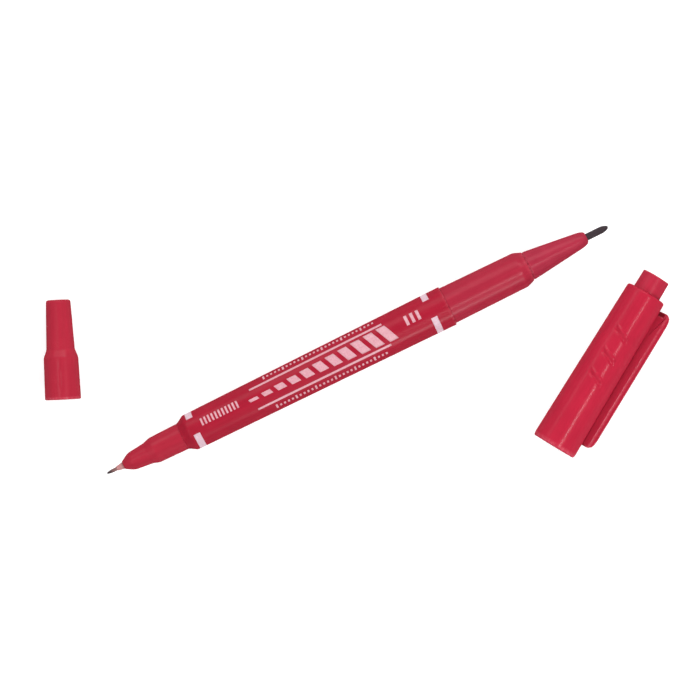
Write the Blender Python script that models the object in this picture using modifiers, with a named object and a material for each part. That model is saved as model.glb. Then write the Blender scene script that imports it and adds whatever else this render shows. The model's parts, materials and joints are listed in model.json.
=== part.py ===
"""Double-ended permanent marker with both caps taken off and lying beside it.

Units are metres, +Z is up and everything lies on the plane z = 0. The pen lies along +X,
with its extra-fine end at low X and its bullet end at high X. The origin is the middle of
the bottom of the whole layout.

Each turned piece is a profile of (height, radius) points along its own axis. Heights on the
pen are measured from the fine tip, and heights on a cap from its mouth.
"""

import math

import bmesh
import bpy
from mathutils import Matrix, Vector

# Fits between pieces, each measured on the radius or along the axis
PRESS_FIT = 0.00005
NIB_FIT = 0.00003
RESERVOIR_PLAY = 0.0001
CAP_CLEARANCE = 0.0002
RESERVOIR_END_GAP = 0.0003
SEAL_GAP = 0.0001

# Ink reservoir, the fibre rod in the barrel, and its film
RESERVOIR_DIAMETER = 0.0066
FILM_THICKNESS = 0.0001
NIB_RECESS_DEPTH = 0.003

# Extra-fine nib and the slim sleeve that guides it
FINE_NIB_DIAMETER = 0.00086
FINE_NIB_EXPOSED = 0.0026
FINE_TIP_LENGTH = 0.0014
SLEEVE_LIP = 0.00009
SLEEVE_BASE_DIAMETER = 0.0017
SLEEVE_CONE_LENGTH = 0.0017
SLEEVE_SHANK_WALL = 0.00026
SLEEVE_SHANK_LENGTH = 0.0045

# Fine nib holder: nose, front cone, chamfer, neck for the small cap, and plug in the barrel
NOSE_LIP = 0.00018
NOSE_DIAMETER = 0.0044
NOSE_LENGTH = 0.0026
FRONT_CONE_DIAMETER = 0.00517
FRONT_CONE_LENGTH = 0.0037
NECK_CHAMFER_LENGTH = 0.0016
NECK_DIAMETER = 0.0062
NECK_DRAFT = 0.00012
NECK_LENGTH = 0.0072
FINE_GUIDE_LENGTH = 0.0045
FINE_PLUG_STEP = 0.00045
FINE_PLUG_WALL = 0.0009
FINE_PLUG_LENGTH = 0.008

# Barrel
SHOULDER_STEP = 0.00003
SHOULDER_FOOT = 0.0003
SHOULDER_LENGTH = 0.0019
BARREL_LENGTH = 0.0682
BARREL_FRONT_WALL = 0.00077
BARREL_BACK_WALL = 0.00062

# Collar that plugs into the barrel and carries the big cap
SPIGOT_WALL = 0.0006
SPIGOT_LENGTH = 0.008
SEAT_STEP = 0.00037
SEAT_DRAFT = 0.00017
SEAT_LENGTH = 0.0187
SEAT_CHAMFER_LENGTH = 0.0019
SEAT_CHAMFER_DEPTH = 0.00073
RIM_WALL = 0.00065

# Bullet nib holder: plug in the collar, seam groove, cone and rounded nose
BULLET_PLUG_LENGTH = 0.01
BULLET_PLUG_WALL = 0.00105
SEAM_GROOVE_WIDTH = 0.0003
SEAM_GROOVE_DEPTH = 0.0001
CONE_BASE_STEP = 0.00008
CONE_LENGTH = 0.01265
CONE_END_DIAMETER = 0.00393
BULLET_NOSE_LENGTH = 0.0021
BULLET_NOSE_LIP = 0.00029
BULLET_GUIDE_LENGTH = 0.01

# Bullet nib
BULLET_NIB_DIAMETER = 0.00166
BULLET_NIB_EXPOSED = 0.00555
BULLET_TIP_LENGTH = 0.0016

# Big cap: outer shell, and inner cap whose knob stands out of the shell's end
CAP_BODY_LENGTH = 0.0413
CAP_MOUTH_WALL = 0.00075
CAP_TOP_WALL = 0.00055
CAP_BORE_DRAFT = 0.00039
CAP_LIP_THICKNESS = 0.001
CAP_EDGE_ROUND = 0.0006
KNOB_DIAMETER = 0.00674
KNOB_DRAFT = 0.00007
KNOB_LENGTH = 0.00445
KNOB_WALL = 0.001
KNOB_END_WALL = 0.001

# Pocket clip along the big cap: a bar that narrows towards the shell, its free end near the mouth
CLIP_WIDTH = 0.0044
CLIP_FOOT_WIDTH = 0.0024
CLIP_EDGE = 0.0012
CLIP_REACH = 0.0027
CLIP_GAP = 0.00025
CLIP_FREE_END = 0.0037
CLIP_ROOT_LENGTH = 0.0069
CLIP_ROOT_TO_END = 0.0028
CLIP_OVERHANG = 0.0012
CLIP_OVERHANG_DEPTH = 0.0018
CLIP_END_ROUND = 0.0026
CLIP_TIP_ROUND = 0.0009

# Small cap
SMALL_MOUTH_LENGTH = 0.00975
SMALL_MOUTH_WALL = 0.00075
SMALL_MOUTH_DRAFT = 0.00017
SMALL_STEP_LENGTH = 0.00185
SMALL_TIP_LENGTH = 0.0115
SMALL_TIP_WALL = 0.0005
SMALL_TIP_DRAFT = 0.00042
SMALL_END_WALL = 0.0009
SMALL_EDGE_ROUND = 0.0007

# Where the caps lie: middle of the mouth from the nearer nib's tip, and the way they point
BIG_CAP_MOUTH_FROM_TIP = (-0.0337, -0.0399)
BIG_CAP_HEADING = math.radians(32.5)
SMALL_CAP_MOUTH_FROM_TIP = (-0.0016, 0.0198)
SMALL_CAP_HEADING = math.radians(66.7)

# Facets round each turned piece, points along each rounded stretch, and the weld distance
ROUND_STEPS = 40
NIB_STEPS = 20
CURVE_POINTS = 4
WELD_DISTANCE = 0.000001

# How full the rounded ends are: the place of each curve's corner as a share of its box
FINE_TIP_FULLNESS = 0.75
FINE_NOSE_FULLNESS = 0.72
BULLET_NOSE_FULLNESS = 0.9
BULLET_NOSE_SHOULDER = 0.865
BULLET_TIP_FULLNESS = 0.7

# Heights along the pen
SLEEVE_FRONT = FINE_NIB_EXPOSED
NOSE_FRONT = SLEEVE_FRONT + SLEEVE_CONE_LENGTH
NOSE_BACK = NOSE_FRONT + NOSE_LENGTH
FRONT_CONE_BACK = NOSE_BACK + FRONT_CONE_LENGTH
NECK_FRONT = FRONT_CONE_BACK + NECK_CHAMFER_LENGTH
NECK_BACK = NECK_FRONT + NECK_LENGTH
SLEEVE_BACK = NOSE_FRONT + SLEEVE_SHANK_LENGTH
FINE_CORE_FRONT = SLEEVE_BACK + FINE_GUIDE_LENGTH
FINE_PLUG_BACK = NECK_BACK + FINE_PLUG_LENGTH
BARREL_FRONT = NECK_BACK + PRESS_FIT
BARREL_BACK = BARREL_FRONT + BARREL_LENGTH
SEAT_FRONT = BARREL_BACK + PRESS_FIT
SEAT_END = SEAT_FRONT + SEAT_LENGTH
RIM_END = SEAT_END + SEAT_CHAMFER_LENGTH
HOLDER_FLANGE = RIM_END + PRESS_FIT
CONE_FRONT = HOLDER_FLANGE + SEAM_GROOVE_WIDTH
CONE_END = CONE_FRONT + CONE_LENGTH
BULLET_NOSE_END = CONE_END + BULLET_NOSE_LENGTH
BULLET_TIP = BULLET_NOSE_END + BULLET_NIB_EXPOSED
BULLET_PLUG_FRONT = HOLDER_FLANGE - BULLET_PLUG_LENGTH
RESERVOIR_FRONT = FINE_PLUG_BACK + RESERVOIR_END_GAP
RESERVOIR_BACK = BULLET_PLUG_FRONT - RESERVOIR_END_GAP
COLLAR_LIP = BULLET_PLUG_FRONT - PRESS_FIT

# Radii along the pen, worked outwards from the nibs and the reservoir
FINE_NIB_RADIUS = FINE_NIB_DIAMETER / 2
SLEEVE_BORE = FINE_NIB_RADIUS + NIB_FIT
SLEEVE_SHANK = SLEEVE_BORE + SLEEVE_SHANK_WALL
NOSE_BORE = SLEEVE_SHANK + PRESS_FIT
NECK_FRONT_RADIUS = NECK_DIAMETER / 2
NECK_BACK_RADIUS = NECK_FRONT_RADIUS + NECK_DRAFT
FINE_PLUG_RADIUS = NECK_BACK_RADIUS - FINE_PLUG_STEP
RESERVOIR_RADIUS = RESERVOIR_DIAMETER / 2
FILM_BORE = RESERVOIR_RADIUS + PRESS_FIT
FILM_RADIUS = FILM_BORE + FILM_THICKNESS
BARREL_BORE = FILM_RADIUS + RESERVOIR_PLAY
SPIGOT_RADIUS = BARREL_BORE + SPIGOT_WALL
BARREL_SOCKET = SPIGOT_RADIUS + PRESS_FIT
BARREL_FRONT_RADIUS = BARREL_BORE + BARREL_FRONT_WALL
BARREL_BACK_RADIUS = BARREL_SOCKET + BARREL_BACK_WALL
SEAT_FRONT_RADIUS = BARREL_BACK_RADIUS - SEAT_STEP
SEAT_END_RADIUS = SEAT_FRONT_RADIUS - SEAT_DRAFT
RIM_RADIUS = SEAT_END_RADIUS - SEAT_CHAMFER_DEPTH
RIM_BORE = RIM_RADIUS - RIM_WALL
BULLET_PLUG_RADIUS = RIM_BORE - PRESS_FIT
CONE_BASE_RADIUS = RIM_RADIUS - CONE_BASE_STEP
BULLET_NIB_RADIUS = BULLET_NIB_DIAMETER / 2
BULLET_GUIDE_BORE = BULLET_NIB_RADIUS + NIB_FIT

# Heights and radii on the big cap
CAP_BORE_MOUTH = SEAT_FRONT_RADIUS + CAP_CLEARANCE
CAP_BORE_TOP = CAP_BORE_MOUTH - CAP_BORE_DRAFT
CAP_MOUTH_RADIUS = CAP_BORE_MOUTH + CAP_MOUTH_WALL
CAP_TOP_RADIUS = CAP_BORE_TOP + CAP_TOP_WALL
CAP_LIP_HEIGHT = CAP_BODY_LENGTH - CAP_LIP_THICKNESS
CAP_LENGTH = CAP_BODY_LENGTH + KNOB_LENGTH
KNOB_RADIUS = KNOB_DIAMETER / 2
INNER_CAP_MOUTH = SEAT_LENGTH + SEAT_CHAMFER_LENGTH + SEAL_GAP
INNER_CAP_TOP = CAP_LIP_HEIGHT - PRESS_FIT
INNER_CAP_BORE = RIM_RADIUS + PRESS_FIT
KNOB_BORE = KNOB_RADIUS - KNOB_WALL
CLIP_ROOT_HEIGHT = CAP_BODY_LENGTH - CLIP_ROOT_TO_END

# Heights and radii on the small cap
SMALL_LENGTH = SMALL_MOUTH_LENGTH + SMALL_STEP_LENGTH + SMALL_TIP_LENGTH
SMALL_STEP_TOP = SMALL_MOUTH_LENGTH + SMALL_STEP_LENGTH
SMALL_BORE = NECK_BACK_RADIUS + CAP_CLEARANCE
SMALL_MOUTH_RADIUS = SMALL_BORE + SMALL_MOUTH_WALL
SMALL_TIP_BORE = FRONT_CONE_DIAMETER / 2 + CAP_CLEARANCE
SMALL_TIP_RADIUS = SMALL_TIP_BORE + SMALL_TIP_WALL

# Colours as linear RGB
RED = (0.48, 0.022, 0.045)
INK_BLACK = (0.035, 0.02, 0.025)
NATURAL_RESIN = (0.62, 0.45, 0.38)
INKED_FIBRE = (0.36, 0.02, 0.035)
CLEAR_FILM = (0.8, 0.75, 0.74)


def bend(start, corner, end):
    """Points of a smooth curve from start to end that is pulled towards the corner."""
    points = []
    for step in range(CURVE_POINTS + 1):
        t = step / CURVE_POINTS
        weights = ((1 - t) ** 2, 2 * t * (1 - t), t ** 2)
        height = weights[0] * start[0] + weights[1] * corner[0] + weights[2] * end[0]
        radius = weights[0] * start[1] + weights[1] * corner[1] + weights[2] * end[1]
        points.append((height, radius))
    return points


def plastic(name, colour, roughness, metallic=0.0):
    """A plain Principled material."""
    material = bpy.data.materials.new(name)
    material.use_nodes = True
    shader = material.node_tree.nodes["Principled BSDF"]
    shader.inputs["Base Color"].default_value = (*colour, 1.0)
    shader.inputs["Roughness"].default_value = roughness
    shader.inputs["Metallic"].default_value = metallic
    return material


def turned(name, outer, inner, parent, material, steps=ROUND_STEPS):
    """Turn a profile about the parent's Z axis.

    outer and inner are (height, radius) points that run up the outside and up a through bore.
    A piece without a through bore has no inner points, and its outer points start and end on
    the axis. A blind bore's points then come first, from its closed end down to its mouth.
    """
    profile = [(radius, height) for height, radius in reversed(outer)]
    profile += [(radius, height) for height, radius in inner]
    mesh = bpy.data.meshes.new(name)
    shape = bmesh.new()
    points = [shape.verts.new((radius, 0.0, height)) for radius, height in profile]
    for first, second in zip(points, points[1:]):
        shape.edges.new((first, second))
    if inner:
        shape.edges.new((points[-1], points[0]))
    shape.to_mesh(mesh)
    shape.free()
    piece = bpy.data.objects.new(name, mesh)
    parts.objects.link(piece)
    piece.parent = parent
    screw = piece.modifiers.new("turn", "SCREW")
    screw.axis = "Z"
    screw.steps = steps
    screw.render_steps = steps
    screw.use_merge_vertices = True
    screw.merge_threshold = WELD_DISTANCE
    screw.use_smooth_shade = True
    weld = piece.modifiers.new("close the poles", "WELD")
    weld.merge_threshold = WELD_DISTANCE
    mesh.materials.append(material)
    return piece


def axis_empty(name, place, heading):
    """An empty whose Z axis lies flat, heading radians from +X, with its X axis down."""
    empty = bpy.data.objects.new(name, None)
    empty.location = place
    empty.rotation_euler = (0.0, math.pi / 2, heading)
    parts.objects.link(empty)
    empty.parent = layout
    return empty


def fine_nib(parent):
    tail = RESERVOIR_FRONT + NIB_RECESS_DEPTH - RESERVOIR_END_GAP
    tip = bend(
        (0.0, 0.0),
        (0.0, FINE_NIB_RADIUS * FINE_TIP_FULLNESS),
        (FINE_TIP_LENGTH, FINE_NIB_RADIUS),
    )
    outer = tip + [(tail, FINE_NIB_RADIUS), (tail, 0.0)]
    turned("fine_nib", outer, [], parent, plastic("fine nib", INK_BLACK, 0.6), NIB_STEPS)


def fine_nib_sleeve(parent):
    outer = [
        (SLEEVE_FRONT, SLEEVE_BORE + SLEEVE_LIP),
        (NOSE_FRONT - PRESS_FIT, SLEEVE_BASE_DIAMETER / 2),
        (NOSE_FRONT - PRESS_FIT, SLEEVE_SHANK),
        (SLEEVE_BACK, SLEEVE_SHANK),
    ]
    inner = [(SLEEVE_FRONT, SLEEVE_BORE), (SLEEVE_BACK, SLEEVE_BORE)]
    turned("fine_nib_sleeve", outer, inner, parent,
           plastic("natural resin", NATURAL_RESIN, 0.35), NIB_STEPS)


def fine_nib_holder(parent):
    nose = bend(
        (NOSE_FRONT, NOSE_BORE + NOSE_LIP),
        (NOSE_FRONT + NOSE_LENGTH * FINE_NOSE_FULLNESS, NOSE_DIAMETER / 2),
        (NOSE_BACK, NOSE_DIAMETER / 2),
    )
    outer = nose + [
        (FRONT_CONE_BACK, FRONT_CONE_DIAMETER / 2),
        (NECK_FRONT, NECK_FRONT_RADIUS),
        (NECK_BACK, NECK_BACK_RADIUS),
        (NECK_BACK, FINE_PLUG_RADIUS),
        (FINE_PLUG_BACK, FINE_PLUG_RADIUS),
    ]
    core = FINE_PLUG_RADIUS - FINE_PLUG_WALL
    inner = [
        (NOSE_FRONT, NOSE_BORE),
        (SLEEVE_BACK + PRESS_FIT, NOSE_BORE),
        (SLEEVE_BACK + PRESS_FIT, SLEEVE_BORE),
        (FINE_CORE_FRONT, SLEEVE_BORE),
        (FINE_CORE_FRONT, core),
        (FINE_PLUG_BACK, core),
    ]
    turned("fine_nib_holder", outer, inner, parent, plastic("holder red", RED, 0.35))


def barrel(parent):
    socket_front = BARREL_BACK - SPIGOT_LENGTH - PRESS_FIT
    plug_socket = FINE_PLUG_RADIUS + PRESS_FIT
    socket_back = FINE_PLUG_BACK
    front_radius = NECK_BACK_RADIUS + SHOULDER_STEP
    shoulder = bend(
        (BARREL_FRONT, front_radius),
        (BARREL_FRONT + SHOULDER_FOOT, front_radius),
        (BARREL_FRONT + SHOULDER_LENGTH, BARREL_FRONT_RADIUS),
    )
    outer = shoulder + [(BARREL_BACK, BARREL_BACK_RADIUS)]
    inner = [
        (BARREL_FRONT, plug_socket),
        (socket_back, plug_socket),
        (socket_back, BARREL_BORE),
        (socket_front, BARREL_BORE),
        (socket_front, BARREL_SOCKET),
        (BARREL_BACK, BARREL_SOCKET),
    ]
    turned("barrel", outer, inner, parent, plastic("barrel red", RED, 0.25))


def cap_seat_collar(parent):
    outer = [
        (SEAT_FRONT - SPIGOT_LENGTH, SPIGOT_RADIUS),
        (SEAT_FRONT, SPIGOT_RADIUS),
        (SEAT_FRONT, SEAT_FRONT_RADIUS),
        (SEAT_END, SEAT_END_RADIUS),
        (RIM_END, RIM_RADIUS),
    ]
    inner = [
        (SEAT_FRONT - SPIGOT_LENGTH, BARREL_BORE),
        (COLLAR_LIP, BARREL_BORE),
        (COLLAR_LIP, RIM_BORE),
        (RIM_END, RIM_BORE),
    ]
    turned("cap_seat_collar", outer, inner, parent, plastic("collar red", RED, 0.42))


def bullet_nib_holder(parent):
    nose = bend(
        (CONE_END, CONE_END_DIAMETER / 2),
        (CONE_END + BULLET_NOSE_LENGTH * BULLET_NOSE_FULLNESS,
         CONE_END_DIAMETER / 2 * BULLET_NOSE_SHOULDER),
        (BULLET_NOSE_END, BULLET_GUIDE_BORE + BULLET_NOSE_LIP),
    )
    outer = [
        (BULLET_PLUG_FRONT, BULLET_PLUG_RADIUS),
        (HOLDER_FLANGE, BULLET_PLUG_RADIUS),
        (HOLDER_FLANGE, CONE_BASE_RADIUS - SEAM_GROOVE_DEPTH),
        (CONE_FRONT, CONE_BASE_RADIUS - SEAM_GROOVE_DEPTH),
        (CONE_FRONT, CONE_BASE_RADIUS),
    ] + nose
    core = BULLET_PLUG_RADIUS - BULLET_PLUG_WALL
    core_end = BULLET_NOSE_END - BULLET_GUIDE_LENGTH
    inner = [
        (BULLET_PLUG_FRONT, core),
        (core_end, core),
        (core_end, BULLET_GUIDE_BORE),
        (BULLET_NOSE_END, BULLET_GUIDE_BORE),
    ]
    turned("bullet_nib_holder", outer, inner, parent, plastic("cone red", RED, 0.38))


def bullet_nib(parent):
    tail = RESERVOIR_BACK - NIB_RECESS_DEPTH + RESERVOIR_END_GAP
    tip = bend(
        (BULLET_TIP - BULLET_TIP_LENGTH, BULLET_NIB_RADIUS),
        (BULLET_TIP, BULLET_NIB_RADIUS * BULLET_TIP_FULLNESS),
        (BULLET_TIP, 0.0),
    )
    outer = [(tail, 0.0), (tail, BULLET_NIB_RADIUS)] + tip
    turned("bullet_nib", outer, [], parent, plastic("bullet nib", INK_BLACK, 0.7), NIB_STEPS)


def ink_reservoir(parent):
    fine_recess = FINE_NIB_RADIUS + NIB_FIT
    bullet_recess = BULLET_NIB_RADIUS + NIB_FIT
    outer = [
        (RESERVOIR_FRONT + NIB_RECESS_DEPTH, 0.0),
        (RESERVOIR_FRONT + NIB_RECESS_DEPTH, fine_recess),
        (RESERVOIR_FRONT, fine_recess),
        (RESERVOIR_FRONT, RESERVOIR_RADIUS),
        (RESERVOIR_BACK, RESERVOIR_RADIUS),
        (RESERVOIR_BACK, bullet_recess),
        (RESERVOIR_BACK - NIB_RECESS_DEPTH, bullet_recess),
        (RESERVOIR_BACK - NIB_RECESS_DEPTH, 0.0),
    ]
    turned("ink_reservoir", outer, [], parent, plastic("inked fibre", INKED_FIBRE, 0.9))


def reservoir_film(parent):
    outer = [(RESERVOIR_FRONT, FILM_RADIUS), (RESERVOIR_BACK, FILM_RADIUS)]
    inner = [(RESERVOIR_FRONT, FILM_BORE), (RESERVOIR_BACK, FILM_BORE)]
    turned("reservoir_film", outer, inner, parent, plastic("clear film", CLEAR_FILM, 0.2))


def shell_radius(height):
    """Outer radius of the big cap's shell at a height above its mouth."""
    return CAP_MOUTH_RADIUS + (CAP_TOP_RADIUS - CAP_MOUTH_RADIUS) * height / CAP_BODY_LENGTH


def shell_bore(height):
    """Radius of the big cap's bore at a height above its mouth."""
    return CAP_BORE_MOUTH + (CAP_BORE_TOP - CAP_BORE_MOUTH) * height / CAP_LIP_HEIGHT


def big_cap_shell(parent):
    edge_start = CAP_BODY_LENGTH - CAP_EDGE_ROUND
    edge = bend(
        (edge_start, shell_radius(edge_start)),
        (CAP_BODY_LENGTH, CAP_TOP_RADIUS),
        (CAP_BODY_LENGTH, CAP_TOP_RADIUS - CAP_EDGE_ROUND),
    )
    outer = [(0.0, CAP_MOUTH_RADIUS)] + edge
    knob_hole = KNOB_RADIUS + PRESS_FIT
    inner = [
        (0.0, CAP_BORE_MOUTH),
        (CAP_LIP_HEIGHT, CAP_BORE_TOP),
        (CAP_LIP_HEIGHT, knob_hole),
        (CAP_BODY_LENGTH, knob_hole),
    ]
    turned("big_cap_shell", outer, inner, parent, plastic("cap red", RED, 0.25))


def big_cap_inner(parent):
    outer = [
        (INNER_CAP_MOUTH, shell_bore(INNER_CAP_MOUTH) - PRESS_FIT),
        (INNER_CAP_TOP, shell_bore(INNER_CAP_TOP) - PRESS_FIT),
        (INNER_CAP_TOP, KNOB_RADIUS),
        (CAP_LENGTH, KNOB_RADIUS - KNOB_DRAFT),
        (CAP_LENGTH, 0.0),
    ]
    tube_end = CAP_LIP_HEIGHT - CAP_LIP_THICKNESS
    bore_end = CAP_LENGTH - KNOB_END_WALL
    bore = [
        (bore_end, 0.0),
        (bore_end, KNOB_BORE),
        (tube_end, KNOB_BORE),
        (tube_end, INNER_CAP_BORE),
        (INNER_CAP_MOUTH, INNER_CAP_BORE),
    ]
    turned("big_cap_inner", bore + outer, [], parent, plastic("inner cap red", RED, 0.4))


def clip_roll():
    """How far the cap has rolled, from clip level to the clip's lower edge on the floor."""
    reach = CAP_MOUTH_RADIUS + CLIP_REACH
    half_width = CLIP_WIDTH / 2
    corner = math.hypot(reach, half_width)
    return math.asin(CAP_MOUTH_RADIUS / corner) - math.atan2(half_width, reach)


def drawn_out(name, outline, depth):
    """A mesh object: a closed outline in its XY plane drawn out to a depth."""
    curve = bpy.data.curves.new(name, "CURVE")
    curve.dimensions = "2D"
    curve.fill_mode = "BOTH"
    curve.extrude = depth / 2
    spline = curve.splines.new("POLY")
    spline.points.add(len(outline) - 1)
    for point, (x, y) in zip(spline.points, outline):
        point.co = (x, y, 0.0, 1.0)
    spline.use_cyclic_u = True
    drawing = bpy.data.objects.new(name, curve)
    parts.objects.link(drawing)
    graph = bpy.context.evaluated_depsgraph_get()
    mesh = bpy.data.meshes.new_from_object(drawing.evaluated_get(graph))
    place = drawing.matrix_world.copy()
    bpy.data.objects.remove(drawing, do_unlink=True)
    solid = bpy.data.objects.new(name, mesh)
    solid.matrix_world = place
    shape = bmesh.new()
    shape.from_mesh(mesh)
    bmesh.ops.remove_doubles(shape, verts=shape.verts[:], dist=WELD_DISTANCE)
    shape.to_mesh(mesh)
    shape.free()
    return solid


def big_cap_clip(parent):
    """The clip, with its origin at the root's hinge line: its side view cut to its cross section."""
    hinge_radius = shell_radius(CLIP_ROOT_HEIGHT) + PRESS_FIT
    outer_face = CAP_MOUTH_RADIUS + CLIP_REACH - hinge_radius
    overhang_face = outer_face - CLIP_OVERHANG_DEPTH
    free_end = CLIP_FREE_END - CLIP_ROOT_HEIGHT
    root_end = -CLIP_ROOT_LENGTH
    root_foot = shell_radius(CLIP_ROOT_HEIGHT + root_end) + PRESS_FIT - hinge_radius
    tip_foot = shell_radius(CLIP_FREE_END) + CLIP_GAP - hinge_radius
    side_view = bend(
        (overhang_face, CLIP_OVERHANG),
        (outer_face, CLIP_OVERHANG),
        (outer_face, CLIP_OVERHANG - CLIP_END_ROUND),
    )
    side_view += bend(
        (outer_face, free_end + CLIP_END_ROUND),
        (outer_face, free_end),
        (tip_foot + CLIP_TIP_ROUND, free_end),
    )
    side_view += bend(
        (tip_foot + CLIP_TIP_ROUND, free_end),
        (tip_foot, free_end),
        (tip_foot, free_end + CLIP_TIP_ROUND),
    )[1:]
    side_view += [
        (root_foot + CLIP_GAP, root_end),
        (root_foot, root_end),
        (0.0, 0.0),
        (overhang_face, 0.0),
    ]
    below = -CLIP_REACH
    above = outer_face + CLIP_REACH
    half_section = [
        (below, CLIP_FOOT_WIDTH / 2),
        (0.0, CLIP_FOOT_WIDTH / 2),
        (outer_face - CLIP_EDGE, CLIP_WIDTH / 2),
        (above, CLIP_WIDTH / 2),
    ]
    cross_section = half_section + [(radial, -across) for radial, across in reversed(half_section)]
    length = CLIP_OVERHANG - free_end
    clip = drawn_out("big_cap_clip", side_view, 2 * CLIP_WIDTH)
    bar = drawn_out("clip_section_bar", cross_section, 2 * length)
    parts.objects.link(clip)
    cutters.objects.link(bar)
    side = clip_roll() - math.pi / 2
    hinge = (hinge_radius * math.cos(side), hinge_radius * math.sin(side), CLIP_ROOT_HEIGHT)
    for solid in (clip, bar):
        solid.parent = parent
        solid.location = hinge
    clip.rotation_euler = (math.pi / 2, 0.0, side)
    bar.rotation_euler = (0.0, 0.0, side)
    bar.hide_render = True
    bar.display_type = "WIRE"
    trim = clip.modifiers.new("cut to the cross section", "BOOLEAN")
    trim.operation = "INTERSECT"
    trim.object = bar
    clip.data.materials.append(plastic("clip red", RED, 0.25))


def small_cap(parent):
    edge_start = SMALL_LENGTH - SMALL_EDGE_ROUND
    end_radius = SMALL_TIP_RADIUS - SMALL_TIP_DRAFT
    edge = bend(
        (edge_start, end_radius),
        (SMALL_LENGTH, end_radius),
        (SMALL_LENGTH, end_radius - SMALL_EDGE_ROUND),
    )
    outer = [
        (0.0, SMALL_MOUTH_RADIUS),
        (SMALL_MOUTH_LENGTH, SMALL_MOUTH_RADIUS - SMALL_MOUTH_DRAFT),
        (SMALL_STEP_TOP, SMALL_TIP_RADIUS),
    ] + edge + [(SMALL_LENGTH, 0.0)]
    bore_end = SMALL_LENGTH - SMALL_END_WALL
    bore = [
        (bore_end, 0.0),
        (bore_end, SMALL_TIP_BORE - SMALL_TIP_DRAFT),
        (SMALL_STEP_TOP, SMALL_TIP_BORE),
        (SMALL_MOUTH_LENGTH, SMALL_BORE),
        (0.0, SMALL_BORE),
    ]
    turned("small_cap", bore + outer, [], parent, plastic("small cap red", RED, 0.3))


def lay_at_origin():
    """Move the layout so that the middle of its bottom is the origin."""
    bpy.context.view_layer.update()
    graph = bpy.context.evaluated_depsgraph_get()
    corners = []
    for piece in parts.objects:
        if piece.type == "EMPTY":
            continue
        shape = piece.evaluated_get(graph)
        mesh = shape.to_mesh()
        corners += [piece.matrix_world @ vertex.co for vertex in mesh.vertices]
        shape.to_mesh_clear()
    low = Vector(min(corner[axis] for corner in corners) for axis in range(3))
    high = Vector(max(corner[axis] for corner in corners) for axis in range(3))
    middle = (low + high) / 2
    layout.matrix_world = Matrix.Translation((-middle.x, -middle.y, -low.z))


for leftover in list(bpy.data.objects):
    bpy.data.objects.remove(leftover, do_unlink=True)
parts = bpy.data.collections.new("double_ended_marker")
cutters = bpy.data.collections.new("cutters")
for collection in (parts, cutters):
    bpy.context.scene.collection.children.link(collection)
layout = bpy.data.objects.new("layout", None)
parts.objects.link(layout)

pen_axis = axis_empty("pen_axis", (0.0, 0.0, BARREL_BACK_RADIUS), 0.0)
for make in (fine_nib, fine_nib_sleeve, fine_nib_holder, barrel, cap_seat_collar,
             bullet_nib_holder, bullet_nib, ink_reservoir, reservoir_film):
    make(pen_axis)

big_cap_mouth = (BULLET_TIP + BIG_CAP_MOUTH_FROM_TIP[0], BIG_CAP_MOUTH_FROM_TIP[1], CAP_MOUTH_RADIUS)
big_cap_axis = axis_empty("big_cap_axis", big_cap_mouth, BIG_CAP_HEADING)
for make in (big_cap_shell, big_cap_inner, big_cap_clip):
    make(big_cap_axis)

small_cap_mouth = (*SMALL_CAP_MOUTH_FROM_TIP, SMALL_MOUTH_RADIUS)
small_cap_axis = axis_empty("small_cap_axis", small_cap_mouth, SMALL_CAP_HEADING)
small_cap(small_cap_axis)

lay_at_origin()
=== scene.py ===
"""Looks of a double-ended permanent marker that lies with both of its caps taken off.

Each turned piece takes its section from its solid in the frame, gets rounded edges and fine relief,
and is made again with many more faces. The clip is a copy of its solid with rounded outer edges.
Lengths are in metres and angles in radians, unless a comment says degrees. A turned piece is
described in its own axis frame: X is up, Y points to the side, Z runs along the axis, and angles are
measured from the top towards Y.
"""

import json
import math

import bmesh
import bpy
from mathutils import Matrix, Vector


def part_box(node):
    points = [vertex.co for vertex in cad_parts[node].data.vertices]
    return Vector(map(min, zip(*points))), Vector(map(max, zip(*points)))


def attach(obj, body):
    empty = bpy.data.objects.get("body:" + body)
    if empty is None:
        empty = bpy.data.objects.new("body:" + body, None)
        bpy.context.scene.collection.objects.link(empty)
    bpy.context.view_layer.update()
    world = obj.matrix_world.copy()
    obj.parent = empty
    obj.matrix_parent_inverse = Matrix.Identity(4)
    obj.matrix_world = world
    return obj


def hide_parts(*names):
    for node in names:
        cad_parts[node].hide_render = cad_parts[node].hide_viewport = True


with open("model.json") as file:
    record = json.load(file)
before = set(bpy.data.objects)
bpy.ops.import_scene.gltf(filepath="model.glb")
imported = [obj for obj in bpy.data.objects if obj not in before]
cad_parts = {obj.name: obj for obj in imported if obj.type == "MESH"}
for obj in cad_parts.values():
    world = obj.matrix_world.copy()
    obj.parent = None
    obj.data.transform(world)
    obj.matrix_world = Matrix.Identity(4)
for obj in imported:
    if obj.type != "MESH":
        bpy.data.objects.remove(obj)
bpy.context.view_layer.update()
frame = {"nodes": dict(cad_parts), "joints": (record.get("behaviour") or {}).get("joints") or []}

MM = 0.001
UP = Vector((0.0, 0.0, 1.0))
ORIGIN = Vector((0.0, 0.0, 0.0))
PEN_FORWARD = (1.0, 0.0, 0.0)

# The photograph's frame: its size in pixels, its scale, and how the pen lies in it
PHOTO_SIZE = 700
PIXELS_PER_METRE = 4330.0
PEN_SLOPE = math.radians(26.23)
FINE_TIP_PIXEL = (107.0, 473.5)
CAMERA_DISTANCE = 0.75
SENSOR_WIDTH = 36.0

# How sections are read: closer points are one point, and smaller turns are taken as straight
WELD = 1e-6
STRAIGHT_TURN = math.radians(0.4)

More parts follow.
